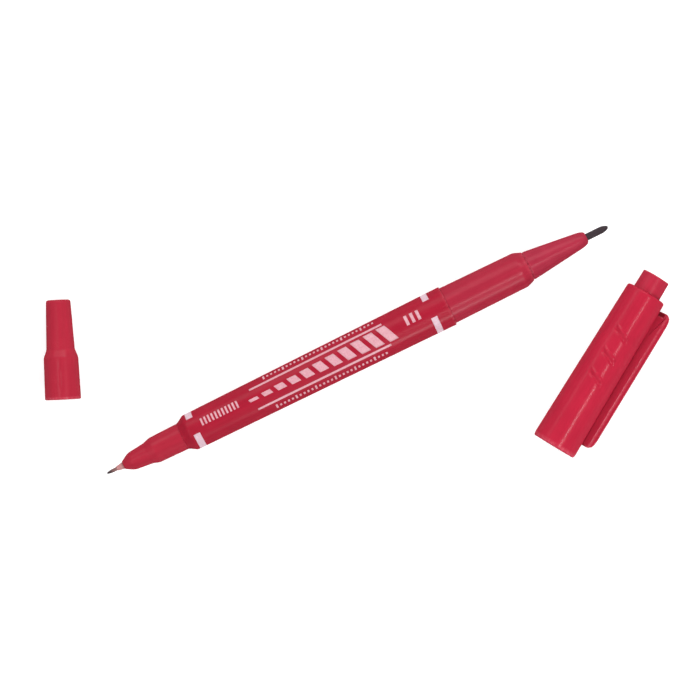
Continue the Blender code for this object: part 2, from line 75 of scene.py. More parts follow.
# How corners are rounded: how far the curve reaches along both sides, and the share of a side that it
# takes at most. A corner below the sharp turn gets the soft round.
SHARP_TURN = math.radians(40)
CORNER_SHARE = 0.48
CURVE_STEPS = 4
SOFT_ROUND = 0.35 * MM
CRISP_ROUND = 0.1 * MM
MATING_ROUND = 0.03 * MM
NIB_ROUND = 0.05 * MM
RIM_ROUND = 0.15 * MM
CAP_ROUND = 0.18 * MM
SMALL_CAP_ROUND = 0.4 * MM
MOUTH_ROUND = 1.2 * MM

# How far the collar's joint reaches behind the barrel, and the big cap's mouth from its end
COLLAR_JOINT = 1.0 * MM
MOUTH_ZONE = 1.0 * MM

# Rims with a painted highlight, a light line in the worn colour: half the width of the line, and its
# height on the small cap
RIM_LIGHT = 0.3 * MM
SMALL_CAP_RIM = 0.45 * MM

# Distance between the rings of a turned piece, and from the end of a straight stretch to the ring that
# holds it
RING_SPACING = 0.9 * MM
NIB_SPACING = 0.5 * MM
SLEEVE_SPACING = 0.4 * MM
BARREL_SPACING = 0.5 * MM
SHELL_SPACING = 0.12 * MM
SMALL_CAP_SPACING = 0.3 * MM
HOLD_GAP = 0.04 * MM
SHORT_STRETCH = 4 * HOLD_GAP

# Steps round a turned piece, and the range of finer steps where it has relief, in degrees
HALF_TURN = 180.0
ANGLE_SLACK = 1e-6
ROUND_STEP = 2.5
NIB_STEP = 6.0
SMALL_CAP_STEP = 1.5
SHELL_STEP = 3.0
NICK_FINE_RANGE = (-7.5, 7.5)
NICK_FINE_STEP = 0.5
RIDGE_FINE_RANGE = (-39.0, 36.0)
RIDGE_FINE_STEP = 0.75

# Depth of a wall that counts as its outside, and the barrel's shoulder ahead of its straight taper
WALL_SHARE = 0.3 * MM
BARREL_SHOULDER = 2.5 * MM

# The small moulding nick at the barrel's back edge
NICK_LENGTH = 1.1 * MM
NICK_HALF_WIDTH = 0.45 * MM
NICK_DEPTH = 0.12 * MM

# Slanted grip ridges on the big cap, and the groove beside each
RIDGE_HEIGHTS = (19.0 * MM, 24.6 * MM, 30.4 * MM)
RIDGE_SIDES = (-2.6 * MM, 2.0 * MM)
RIDGE_SLOPE = math.tan(math.radians(23))
RIDGE_HALF_WIDTH = 0.6 * MM
RIDGE_RISE = 0.2 * MM
RIDGE_TAPER = 0.9 * MM
GROOVE_SHIFT = 1.0 * MM
GROOVE_HALF_WIDTH = 0.65 * MM
GROOVE_DEPTH = 0.24 * MM

# Shallow sink marks on the small cap, over the ribs inside its mouth
SINK_COUNT = 6
SINK_RANGE = (2.4 * MM, 7.6 * MM)
SINK_HALF_WIDTH = 0.42 * MM
SINK_DEPTH = 0.045 * MM
SINK_TAPER = 1.2 * MM

# Print on the barrel, as heights from the fine tip and angles from the top. A hatch is its start, its
# end, its number of bars and its width.
PRINT_LIFT = 0.012 * MM
PRINT_SINK = 0.02 * MM
BAND_SPANS = ((22.05 * MM, 23.67 * MM), (82.8 * MM, 84.35 * MM))
BAND_ANGLES = (math.radians(12), math.radians(317))
GAUGE_ANGLE = math.radians(-5)
GAUGE_RANGE = (37.0 * MM, 74.5 * MM)
GAUGE_BARS = 11
GAUGE_BAR_SHARE = 0.66
GAUGE_WIDTHS = (0.7 * MM, 4.2 * MM)
GAUGE_LEAN = math.tan(math.radians(24))
STRIPE_RANGE = (38.0 * MM, 72.0 * MM)
STRIPE_WIDTH = 0.5 * MM
STRIPE_ANGLES = (math.radians(-38), math.radians(29))
TICK_RANGE = (42.0 * MM, 71.0 * MM)
TICK_PITCH = 1.0 * MM
TICK_SHARE = 0.45
TICK_WIDTHS = (1.3 * MM, 0.7 * MM)
TICK_GROUP = 5
TICK_ANGLES = (math.radians(-60), math.radians(50))
HATCH_ANGLE = math.radians(-14)
HATCH_SHARE = 0.5
FINE_HATCH = (24.9 * MM, 34.8 * MM, 11, 1.8 * MM)
BROAD_HATCH = (77.2 * MM, 81.6 * MM, 3, 2.4 * MM)
BAND_STEPS = 140
BAR_STEPS = 8
STRIPE_STEPS = 60

# Clip: the round of its outer edges, the turn between faces that makes an edge or a long ridge, and how
# far its inner face, whose edges stay crisp, comes closer to the shell along the slope of its flanks
CLIP_EDGE_ROUND = 0.35 * MM
CLIP_EDGE_STEPS = 5
CLIP_CRISP_TURN = math.radians(35)
CLIP_RIDGE_TURN = math.radians(20)
CLIP_RIDGE_LENGTH = 20.0 * MM
CLIP_INNER_REACH = 0.8 * MM
CLIP_INNER_LIFT = 0.2 * MM
CLIP_FLANK_SLOPE = 0.5
CLIP_WEAR = 0.5

# Red mouldings, each a batch of its own, but the clip has the big cap's red darkened as painted shade on
# its flanks: name, colour as linear RGB, range of roughness and bump strength
HOLDER_RED = ("holder_red", (0.391, 0.02, 0.041), (0.2, 0.28), 0.15)
BARREL_RED = ("barrel_red", (0.353, 0.012, 0.031), (0.22, 0.3), 0.12)
COLLAR_RED = ("collar_red", (0.366, 0.021, 0.044), (0.22, 0.3), 0.15)
CONE_RED = ("cone_red", (0.362, 0.025, 0.051), (0.24, 0.32), 0.15)
BIG_CAP_RED = ("big_cap_red", (0.452, 0.017, 0.043), (0.17, 0.24), 0.1)
INNER_CAP_RED = ("inner_cap_red", (0.42, 0.021, 0.047), (0.28, 0.36), 0.15)
# The clip's red is the big cap's made darker: painted shade
SHADED_CLIP_RED = ("shaded_clip_red", (0.4, 0.015, 0.038), (0.17, 0.24), 0.1)
SMALL_CAP_RED = ("small_cap_red", (0.41, 0.021, 0.043), (0.22, 0.3), 0.12)

# Other colours as linear RGBA, and the share of a red that its darker streaks keep
# The worn colour also paints the highlight on the light rims
RED_WORN_AND_RIM_LIT = (0.62, 0.11, 0.15, 1.0)
DEEP_SHARE = 0.88
BAND_WHITE = (0.63, 0.46, 0.53, 1.0)
BAND_THIN = (0.57, 0.35, 0.41, 1.0)
GAUGE_WHITE = (0.63, 0.345, 0.39, 1.0)
GAUGE_THIN = (0.57, 0.25, 0.30, 1.0)
INK_BLACK = (0.028, 0.017, 0.02, 1.0)
INK_BROWN = (0.25, 0.12, 0.115, 1.0)
FIBRE_GREY = (0.033, 0.021, 0.026, 1.0)
RESIN = (0.47, 0.20, 0.20, 1.0)
RESIN_DARK_AT_BASE = (0.2, 0.05, 0.055, 1.0)
INKED_FIBRE = (0.36, 0.02, 0.035, 1.0)
INKED_FIBRE_DEEP = (0.22, 0.012, 0.022, 1.0)
FILM = (0.8, 0.75, 0.74, 1.0)
FILM_TINTED = (0.72, 0.5, 0.5, 1.0)
FLOOR_WHITE = (0.64, 0.64, 0.64, 1.0)
GLOW_WHITE = (1.0, 1.0, 1.0, 1.0)

# Noise: scales in cells per metre, levels of detail, and the range of values that it mostly covers
UNIT_SPAN = (0.0, 1.0)
NOISE_SPAN = (0.3, 0.7)
TWO_NOISES_SPAN = (0.6, 1.4)
GRAIN_DETAIL = 2.0
PLAIN_DETAIL = 3.0
FINE_DETAIL = 4.0
PLAIN_ROUGHNESS = 0.55

# Moulded plastic. Its gloss is a thin coat, so edges seen at a low angle stay dark.
MOTTLE_SCALE = 210.0
STREAK_SCALE = 1500.0
STREAK_STRETCH = (1.0, 1.0, 0.05)
GRAIN_SCALE = 9000.0
SHADE_SPAN = (0.7, 1.3)
SCUFF_SCALE = 1400.0
SCUFF_SPAN = (0.35, 0.7)
SCUFF_COVER = (0.1, 0.75)
PLASTIC_BUMP = 0.02 * MM
PLASTIC_SPECULAR = 0.0
COAT_WEIGHT = 0.037
COAT_IOR = 2.5

# Nibs, with the height up to which the fine nib is black
FIBRE_SCALE = 9000.0
FIBRE_STRETCH = (1.0, 1.0, 0.06)
PORE_SCALE = 14000.0
BLOTCH_SCALE = 1500.0
BLOTCH_SHIFT = (-0.25, 0.25)
NIB_BUMP_STRENGTH = 0.6
NIB_BUMP = 0.03 * MM
NIB_SPECULAR = 0.2
FINE_INK_HEIGHT = 0.6 * MM
FINE_NIB_ROUGHNESS = (0.3, 0.45)
BULLET_NIB_ROUGHNESS = (0.55, 0.75)

# The fine nib's resin sleeve, with the share of its length at which it starts to grow darker towards its
# base
CLOUD_SCALE = 2200.0
CLOUD_SHIFT = (-0.2, 0.2)
DARKENING_START = 0.72
RESIN_GRAIN_SCALE = 6000.0
RESIN_ROUGHNESS = (0.22, 0.38)
RESIN_SUBSURFACE = 0.15
RESIN_RADIUS = (0.4 * MM, 0.2 * MM, 0.15 * MM)

# Printing ink
COVER_SCALE = 2600.0
COVER_DETAIL = 5.0
COVER_ROUGHNESS = 0.65
COVER_SPAN = (0.38, 0.62)
PRINT_ROUGHNESS = (0.34, 0.5)
PRINT_BUMP_STRENGTH = 0.2
PRINT_BUMP = 0.01 * MM

# Pieces inside the barrel: name, two colours, scale of their mottling and range of roughness
RESERVOIR_FINISH = ("inked_fibre", INKED_FIBRE_DEEP, INKED_FIBRE, 4000.0, (0.8, 0.95))
FILM_FINISH = ("film", FILM, FILM_TINTED, 900.0, (0.15, 0.3))
INNER_BUMP_STRENGTH = 0.3
INNER_BUMP = 0.03 * MM

# Places of a Mix node's colour sockets
MIX_INPUTS = (6, 7)
MIX_OUTPUT = 2

# Studio. A lamp is its name, its place to the right and down of the picture's middle, its size, its turn
# and its radiance. A band of the surround is the height of a direction and the level there.
FLOOR_SIZE = 6.0
FLOOR_GAP = 0.02 * MM
FLOOR_ROUGHNESS = 0.9
FLOOR_SPECULAR = 0.1
FLOOR_GLOW = 0.55
LAMP_HEIGHT = 0.5
LAMPS = (
    ("key_strip", (0.21, 0.125), (0.06, 0.2), math.radians(-37), 32.0),
    ("middle_panel", (0.27, 0.424), (0.1, 0.4), PEN_SLOPE, 3.8),
    ("low_panel", (0.487, 0.875), (0.08, 0.6), PEN_SLOPE, 41.0),
    ("fill_panel", (-0.34, -0.69), (0.7, 0.7), 0.0, 3.4),
    ("top_panel", (0.2, -0.55), (0.4, 0.4), 0.0, 5.8),
    ("left_panel", (-0.35, 0.28), (0.4, 0.4), 0.0, 1.6),
    ("nose_strip", (-0.23, 0.0), (0.09, 0.03), PEN_SLOPE, 25.0),
)
SURROUND_BANDS = ((0.0, 0.8), (0.12, 0.8), (0.3, 0.34), (0.8, 0.34), (0.92, 0.1), (1.0, 0.1))


def joint(name):
    """The frame's joint of that name."""
    return next(entry for entry in frame["joints"] if entry["name"] == name)


def axis_place(node, forward):
    """The axis frame of a turned node: Z along forward, X up, and height zero at its lower end."""
    forward = Vector(forward).normalized()
    side = forward.cross(UP)
    turn = Matrix((UP, side, forward)).transposed()
    spots = [turn.transposed() @ vertex.co for vertex in frame["nodes"][node].data.vertices]
    lowest = min(spot.z for spot in spots)
    ring = [spot for spot in spots if spot.z < lowest + WELD]
    across = [(min(spot[i] for spot in ring) + max(spot[i] for spot in ring)) / 2 for i in range(2)]
    return Matrix.Translation(turn @ Vector((*across, lowest))) @ turn.to_4x4()


def half_section(node, place):
    """The half section of a turned node: points (height, radius) in order, and if they close.

    It is where the plane y = 0 of the place cuts the node, on the side with x above zero.
    """
    shape = bmesh.new()
    shape.from_mesh(frame["nodes"][node].data)
    shape.transform(place.inverted())
    bmesh.ops.remove_doubles(shape, verts=shape.verts[:], dist=WELD)
    for normal, one_side in (((-1.0, 0.0, 0.0), True), ((0.0, 1.0, 0.0), False)):
        geometry = shape.verts[:] + shape.edges[:] + shape.faces[:]
        bmesh.ops.bisect_plane(shape, geom=geometry, dist=WELD, plane_co=ORIGIN,
                               plane_no=normal, clear_outer=one_side)
    on_plane = [edge for edge in shape.edges
                if all(abs(vertex.co.y) < 2 * WELD for vertex in edge.verts)
                and any(vertex.co.x > 2 * WELD for vertex in edge.verts)]
    beside = {}
    for edge in on_plane:
        first, second = edge.verts
        beside.setdefault(first, []).append(second)
        beside.setdefault(second, []).append(first)
    ends = [vertex for vertex in beside if len(beside[vertex]) == 1]
    current = min(ends or beside, key=lambda vertex: (vertex.co.z, vertex.co.x))
    path = [current]
    seen = {current}
    while True:
        following = [vertex for vertex in beside[current] if vertex not in seen]
        if not following:
            break
        current = following[0]
        seen.add(current)
        path.append(current)
    points = [Vector((vertex.co.z, max(vertex.co.x, 0.0))) for vertex in path]
    shape.free()
    return points, not ends


def outer_radius(node, place, height):
    """Radius of a turned node's outside at a height."""
    outline, _ = half_section(node, place)
    found = []
    for first, second in zip(outline, outline[1:] + outline[:1]):
        low, high = min(first.x, second.x), max(first.x, second.x)
        if low <= height <= high and high - low > WELD:
            found.append(first.y + (second.y - first.y) * (height - first.x) / (second.x - first.x))
    return max(found)


def turn_at(before, corner, after):
    """Signed change of direction at a corner."""
    arriving = corner - before
    leaving = after - corner
    return math.atan2(arriving.cross(leaving), arriving.dot(leaving))


def fixed_rounding(reach):
    """The same rounding at any height."""
    return lambda height: reach


def barrel_rounding(height):
    """A tight joint at the neck, and a soft back edge."""
    return RIM_ROUND if height > taper_front else MATING_ROUND


def collar_rounding(height):
    """A tight joint at the barrel, and a soft rim at the cone."""
    return RIM_ROUND if height > barrel_back + COLLAR_JOINT else MATING_ROUND


def mouth_rounding(height):
    """The big cap's full round at its mouth, and its plain edges elsewhere."""
    return MOUTH_ROUND if height < MOUTH_ZONE else CAP_ROUND


def rounded(outline, closed, rounding):
    """The outline with each corner as a short curve: (height, radius, worn share) points.

    rounding(height) is the reach of a sharp corner's curve. Wear is 1 on the sharp outward
    corners and 0 elsewhere.
    """
    count = len(outline)
    ring = [outline[i] for i in range(count)
            if not closed and i in (0, count - 1)
            or abs(turn_at(outline[i - 1], outline[i], outline[(i + 1) % count])) > STRAIGHT_TURN]
    count = len(ring)
    area = sum(ring[i - 1].cross(ring[i]) for i in range(count))
    result = []
    for index, corner in enumerate(ring):
        if not closed and index in (0, count - 1):
            result.append((corner.x, corner.y, 0.0))
            continue
        before = ring[index - 1]
        after = ring[(index + 1) % count]
        turn = turn_at(before, corner, after)
        sharp = abs(turn) > SHARP_TURN
        wear_and_rim_light = 1.0 if sharp and turn * area > 0 else 0.0
        reach = rounding(corner.x) if sharp else SOFT_ROUND
        back, ahead = before - corner, after - corner
        start = corner + back.normalized() * min(reach, CORNER_SHARE * back.length)
        end = corner + ahead.normalized() * min(reach, CORNER_SHARE * ahead.length)
        for step in range(CURVE_STEPS + 1):
            t = step / CURVE_STEPS
            point = start.lerp(corner, t).lerp(corner.lerp(end, t), t)
            result.append((point.x, point.y, wear_and_rim_light * math.sin(math.pi * t)))
    return result


def resampled(points, closed, spacing):
    """The points with long straight stretches cut into steps, and held close at both ends."""
    result = []
    count = len(points)
    for index, start in enumerate(points):
        result.append(start)
        if not closed and index == count - 1:
            break
        end = points[(index + 1) % count]
        length = math.hypot(end[0] - start[0], end[1] - start[1])
        if length < SHORT_STRETCH:
            continue
        pieces = max(1, round(length / spacing))
        shares = [HOLD_GAP / length] + [i / pieces for i in range(1, pieces)] + [1 - HOLD_GAP / length]
        for share in shares:
            result.append(tuple(a + (b - a) * share for a, b in zip(start, end)))
    return result


def angle_steps(step, fine_range=None, fine_step=None):
    """Angles round the axis, in radians, from degrees. They are closer inside the fine range."""
    angles = []
    angle = -HALF_TURN
    while angle < HALF_TURN - ANGLE_SLACK:
        angles.append(math.radians(angle))
        fine = fine_range is not None and fine_range[0] <= angle < fine_range[1]
        angle += fine_step if fine else step
    return angles


def even_steps(start, end, count):
    """Values from start to end in equal steps."""
    return [start + (end - start) * i / count for i in range(count + 1)]


def smooth_rise(value, start, end):
    """0 before start, 1 after end, and a smooth change between them."""
    t = min(1.0, max(0.0, (value - start) / (end - start)))
    return t * t * (3 - 2 * t)


def smooth_window(value, span, taper):
    """0 outside a span, 1 well inside it, and a smooth change over the taper at both of its ends."""
    low, high = span
    return smooth_rise(value, low, low + taper) * smooth_rise(-value, -high, -high + taper)


def hump(distance, half_width):
    """A smooth hump: 1 at distance 0 and 0 at the half width."""
    if abs(distance) >= half_width:
        return 0.0
    return 0.5 + 0.5 * math.cos(math.pi * distance / half_width)


def finished(name, vertices, faces, local, wear_and_rim_light, material, body, replaced=None):
    """A smooth mesh piece that rides on a body, with axis-frame coordinates and the shares of worn edge
    and painted rim highlight as attributes.
    """
    mesh = bpy.data.meshes.new(name)
    mesh.from_pydata(vertices, [], faces)
    shape = bmesh.new()
    shape.from_mesh(mesh)
    bmesh.ops.recalc_face_normals(shape, faces=shape.faces[:])
    shape.to_mesh(mesh)
    shape.free()
    mesh.attributes.new("local", "FLOAT_VECTOR", "POINT")
    mesh.attributes["local"].data.foreach_set("vector", [value for spot in local for value in spot])
    mesh.attributes.new("wear_and_rim_light", "FLOAT", "POINT")
    mesh.attributes["wear_and_rim_light"].data.foreach_set("value", wear_and_rim_light)
    mesh.shade_smooth()
    mesh.materials.append(material)
    piece = bpy.data.objects.new(name, mesh)
    bpy.context.scene.collection.objects.link(piece)
    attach(piece, body)
    if replaced:
        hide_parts(replaced)
    return piece


def turned(node, place, body, material, step=ROUND_STEP, rounding=fixed_rounding(CRISP_ROUND),
           spacing=RING_SPACING, angles=None, relief=None, rim=None):
    """A finer turned piece in place of a node. relief(height, radius, angle) adds to the radius.

    A rim is the height of an edge that gets a painted highlight, a light line in the worn colour.
    """
    outline, closed = half_section(node, place)
    points = resampled(rounded(outline, closed, rounding), closed, spacing)
    angles = angles or angle_steps(step)
    vertices, local, wear_and_rim_light, rings = [], [], [], []
    for height, radius, edge_wear_and_rim_light in points:
        # A rim's light line is a painted highlight, mixed in with the worn edges
        if rim is not None:
            edge_wear_and_rim_light = max(edge_wear_and_rim_light, hump(height - rim, RIM_LIGHT))
        start = len(vertices)
        pole = radius < WELD
        for angle in angles[:1] if pole else angles:
            reach = 0.0 if pole else radius
            if relief and not pole:
                reach += relief(height, radius, angle)
            spot = Vector((reach * math.cos(angle), reach * math.sin(angle), height))
            local.append(spot)
            vertices.append(place @ spot)
            wear_and_rim_light.append(edge_wear_and_rim_light)
        rings.append((start, pole))
    count = len(angles)
    faces = []
    pairs = list(zip(rings, rings[1:])) + ([(rings[-1], rings[0])] if closed else [])
    for (first, first_pole), (second, second_pole) in pairs:
        for i in range(count):
            j = (i + 1) % count
            if first_pole:
                faces.append((first, second + j, second + i))
            elif second_pole:
                faces.append((first + i, first + j, second))
            else:
                faces.append((first + i, first + j, second + j, second + i))
    return finished(node + "_fine", vertices, faces, local, wear_and_rim_light, material, body, node)


def new_node(tree, kind, **values):
    """A shader node with its inputs set by name, with _ for a space."""
    made = tree.nodes.new(kind)
    for name, value in values.items():
        made.inputs[name.replace("_", " ")].default_value = value
    return made


def blank_material(name):
    """A new material, its node tree and its Principled shader."""
    material = bpy.data.materials.new(name)
    material.use_nodes = True
    tree = material.node_tree
    return material, tree, tree.nodes["Principled BSDF"]


def local_coordinates(tree, stretch=(1.0, 1.0, 1.0)):
    """The axis-frame coordinates, scaled."""
    source = tree.nodes.new("ShaderNodeAttribute")
    source.attribute_name = "local"
    mapping = new_node(tree, "ShaderNodeMapping", Scale=stretch)
    tree.links.new(source.outputs["Vector"], mapping.inputs["Vector"])
    return mapping.outputs["Vector"]


def noise(tree, vector, scale, detail=PLAIN_DETAIL, roughness=PLAIN_ROUGHNESS):
    """Noise of a scale given in cells per metre."""
    texture = new_node(tree, "ShaderNodeTexNoise", Scale=scale, Detail=detail, Roughness=roughness)
    tree.links.new(vector, texture.inputs["Vector"])
    return texture.outputs["Fac"]


def ranged(tree, value, source, target):
    """A value moved from one range to another."""
    node = new_node(tree, "ShaderNodeMapRange", From_Min=source[0], From_Max=source[1],
                    To_Min=target[0], To_Max=target[1])
    tree.links.new(value, node.inputs["Value"])
    return node.outputs["Result"]


def mixed(tree, factor, first, second):
    """Two colours mixed by a factor. Each is a colour or the output of another node."""
    node = tree.nodes.new("ShaderNodeMix")
    node.data_type = "RGBA"
    tree.links.new(factor, node.inputs["Factor"])
    for place, colour in zip(MIX_INPUTS, (first, second)):
        if isinstance(colour, tuple):
            node.inputs[place].default_value = colour
        else:
            tree.links.new(colour, node.inputs[place])
    return node.outputs[MIX_OUTPUT]


def bumped(tree, shader, height, strength, distance):
    """Bump on a shader from a height. The bumped normal is returned."""
    bump = new_node(tree, "ShaderNodeBump", Strength=strength, Distance=distance)
    tree.links.new(height, bump.inputs["Height"])
    tree.links.new(bump.outputs["Normal"], shader.inputs["Normal"])
    return bump.outputs["Normal"]


def summed(tree, first, second, operation="ADD"):
    """Two values added, or joined by another operation."""
    node = tree.nodes.new("ShaderNodeMath")
    node.operation = operation
    tree.links.new(first, node.inputs[0])
    tree.links.new(second, node.inputs[1])
    return node.outputs[0]


def graded(tree, start, end):
    """0 to 1 along the axis between two heights."""
    parts = tree.nodes.new("ShaderNodeSeparateXYZ")
    tree.links.new(local_coordinates(tree), parts.inputs["Vector"])
    return ranged(tree, parts.outputs["Z"], (start, end), UNIT_SPAN)


def moulded_plastic(name, colour, roughness, bump):
    """Moulded plastic with flow streaks along its axis, mottling, fine grain, worn edges and painted
    highlights on light rims.
    """
    material, tree, shader = blank_material(name)
    main = (*colour, 1.0)
    deep = (*(DEEP_SHARE * part for part in colour), 1.0)
    links = tree.links
    plain = local_coordinates(tree)
    drawn = local_coordinates(tree, STREAK_STRETCH)
    mottle = noise(tree, plain, MOTTLE_SCALE)
    streaks = noise(tree, drawn, STREAK_SCALE, FINE_DETAIL)
    grain = noise(tree, plain, GRAIN_SCALE, GRAIN_DETAIL)
    # Worn edges, and the painted highlights on the light rims, take the worn colour
    worn = tree.nodes.new("ShaderNodeAttribute")
    worn.attribute_name = "wear_and_rim_light"
    shade = ranged(tree, summed(tree, mottle, streaks), SHADE_SPAN, UNIT_SPAN)
    body_colour = mixed(tree, shade, deep, main)
    scuffs = ranged(tree, noise(tree, plain, SCUFF_SCALE, FINE_DETAIL), SCUFF_SPAN, SCUFF_COVER)
    edge = summed(tree, worn.outputs["Fac"], scuffs, "MULTIPLY")
    links.new(mixed(tree, edge, body_colour, RED_WORN_AND_RIM_LIT), shader.inputs["Base Color"])
    gloss = ranged(tree, summed(tree, mottle, grain), TWO_NOISES_SPAN, roughness)
    links.new(gloss, shader.inputs["Roughness"])
    links.new(gloss, shader.inputs["Coat Roughness"])
    shader.inputs["Specular IOR Level"].default_value = PLASTIC_SPECULAR
    shader.inputs["Coat Weight"].default_value = COAT_WEIGHT
    shader.inputs["Coat IOR"].default_value = COAT_IOR
    normal = bumped(tree, shader, summed(tree, streaks, grain), bump, PLASTIC_BUMP)
    links.new(normal, shader.inputs["Coat Normal"])
    return material


def fibre_nib(name, tip_colour, base_colour, tip, base, roughness):
    """A dark nib with streaks of fibre along it, graded from its tip to its base."""
    material, tree, shader = blank_material(name)
    fibres = noise(tree, local_coordinates(tree, FIBRE_STRETCH), FIBRE_SCALE)
    pores = noise(tree, local_coordinates(tree), PORE_SCALE, GRAIN_DETAIL)
    blotch = ranged(tree, noise(tree, local_coordinates(tree), BLOTCH_SCALE), NOISE_SPAN, BLOTCH_SHIFT)
    along = summed(tree, graded(tree, tip, base), blotch)
    tree.links.new(mixed(tree, along, tip_colour, base_colour), shader.inputs["Base Color"])
    tree.links.new(ranged(tree, fibres, NOISE_SPAN, roughness), shader.inputs["Roughness"])
    shader.inputs["Specular IOR Level"].default_value = NIB_SPECULAR
    bumped(tree, shader, summed(tree, fibres, pores), NIB_BUMP_STRENGTH, NIB_BUMP)
    return material


def resin_dark_at_base(front, back):
    """Natural resin that grows darker towards its base."""
    material, tree, shader = blank_material("resin_dark_at_base")
    cloud = ranged(tree, noise(tree, local_coordinates(tree), CLOUD_SCALE), NOISE_SPAN, CLOUD_SHIFT)
    darkening = summed(tree, graded(tree, front + (back - front) * DARKENING_START, back), cloud)
    tree.links.new(mixed(tree, darkening, RESIN, RESIN_DARK_AT_BASE), shader.inputs["Base Color"])
    grain = noise(tree, local_coordinates(tree), RESIN_GRAIN_SCALE)
    tree.links.new(ranged(tree, grain, NOISE_SPAN, RESIN_ROUGHNESS), shader.inputs["Roughness"])
    shader.inputs["Subsurface Weight"].default_value = RESIN_SUBSURFACE
    shader.inputs["Subsurface Radius"].default_value = RESIN_RADIUS
    return material


def print_ink(name, full, thin):
    """White print, thin in spots so that the red below tints it."""
    material, tree, shader = blank_material(name)
    cover = noise(tree, local_coordinates(tree), COVER_SCALE, COVER_DETAIL, COVER_ROUGHNESS)
    density = ranged(tree, cover, COVER_SPAN, UNIT_SPAN)
    tree.links.new(mixed(tree, density, thin, full), shader.inputs["Base Color"])
    tree.links.new(ranged(tree, cover, NOISE_SPAN, PRINT_ROUGHNESS), shader.inputs["Roughness"])
    bumped(tree, shader, cover, PRINT_BUMP_STRENGTH, PRINT_BUMP)
    return material


def inner_finish(name, first, second, scale, roughness):
    """A mottled finish for a piece inside the barrel."""
    material, tree, shader = blank_material(name)
    coordinates = tree.nodes.new("ShaderNodeTexCoord").outputs["Object"]
    mottle = noise(tree, coordinates, scale, FINE_DETAIL)
    tree.links.new(mixed(tree, mottle, first, second), shader.inputs["Base Color"])
    tree.links.new(ranged(tree, mottle, NOISE_SPAN, roughness), shader.inputs["Roughness"])
    bumped(tree, shader, mottle, INNER_BUMP_STRENGTH, INNER_BUMP)
    return material


def barrel_nick(height, radius, angle):
    """The small wedge-shaped nick in the barrel's back edge."""
    depth_in = height - barrel_back + NICK_LENGTH
    if depth_in <= 0.0 or radius < barrel_outside:
        return 0.0
    half_width = NICK_HALF_WIDTH * depth_in / NICK_LENGTH
    return -NICK_DEPTH if abs(radius * angle) < half_width else 0.0


def cap_ridges(height, radius, angle):
    """Slim ridges that slant across the top of the big cap, each with a groove beside it."""
    across = radius * angle
    if radius < cap_outside or not RIDGE_SIDES[0] < across < RIDGE_SIDES[1]:
        return 0.0
    lean = height + across * RIDGE_SLOPE
    rise = max(hump(lean - middle, RIDGE_HALF_WIDTH) for middle in RIDGE_HEIGHTS)
    fall = max(hump(lean - middle + GROOVE_SHIFT, GROOVE_HALF_WIDTH) for middle in RIDGE_HEIGHTS)
    return smooth_window(across, RIDGE_SIDES, RIDGE_TAPER) * (RIDGE_RISE * rise - GROOVE_DEPTH * fall)


def cap_sinks(height, radius, angle):
    """Shallow sink marks along the small cap's mouth."""
    if radius < small_cap_outside or not SINK_RANGE[0] < height < SINK_RANGE[1]:
        return 0.0
    pitch = 2 * math.pi / SINK_COUNT
    off_centre = (angle + pitch / 2) % pitch - pitch / 2
    ends = smooth_window(height, SINK_RANGE, SINK_TAPER)
    return -SINK_DEPTH * ends * hump(radius * off_centre, SINK_HALF_WIDTH)


def clip_axes():
    """The clip's own frame, at its root: X outward from the cap, Y across the clip, Z along the cap."""
    flex = joint("clip_flex")
    tangent = Vector(flex["axis"]).normalized()
    forward = Vector(joint("big_cap_pull")["axis"]).normalized()
    outward = forward.cross(tangent)
    return Matrix.Translation(flex["pos_m"]) @ Matrix((outward, tangent, forward)).transposed().to_4x4()


def narrow_clip_gap(shape, place):
    """Move the clip's inner face closer to the shell. The vertices of its inner side are returned."""
    to_local = place.inverted()
    inner = {vertex for vertex in shape.verts if (to_local @ vertex.co).x < CLIP_INNER_REACH}
    for vertex in inner:
        spot = to_local @ vertex.co
        if spot.x > CLIP_INNER_LIFT:
            side = math.copysign(CLIP_FLANK_SLOPE, spot.y)
            vertex.co = place @ (spot - Vector((1.0, side, 0.0)) * CLIP_INNER_LIFT)
    shape.normal_update()
    return inner


def weld_ridge_ends(shape):
    """Drop the short steps beside the ends of the clip's ridges, which are too tight to be rounded."""
    ridges = [edge for edge in shape.edges if edge.is_convex and edge.calc_length() > CLIP_RIDGE_LENGTH
              and CLIP_RIDGE_TURN < edge.calc_face_angle(0.0) < CLIP_CRISP_TURN]
    crowded = {}
    for ridge in ridges:
        for end in ridge.verts:
            closest = min(end.link_edges, key=lambda edge: edge.calc_length())
            crowded[closest.other_vert(end)] = end
    bmesh.ops.weld_verts(shape, targetmap=crowded)
    shape.normal_update()


def clip_outer_edges(shape, inner):
    """The clip's ridges and its other sharp outward edges, without those of its inner side."""
    found = []
    for edge in shape.edges:
        least_turn = CLIP_RIDGE_TURN if edge.calc_length() > CLIP_RIDGE_LENGTH else CLIP_CRISP_TURN
        turn = edge.calc_face_angle(0.0) if edge.is_convex else 0.0
        if turn > least_turn and not inner.issuperset(edge.verts):
            found.append(edge)
    return found


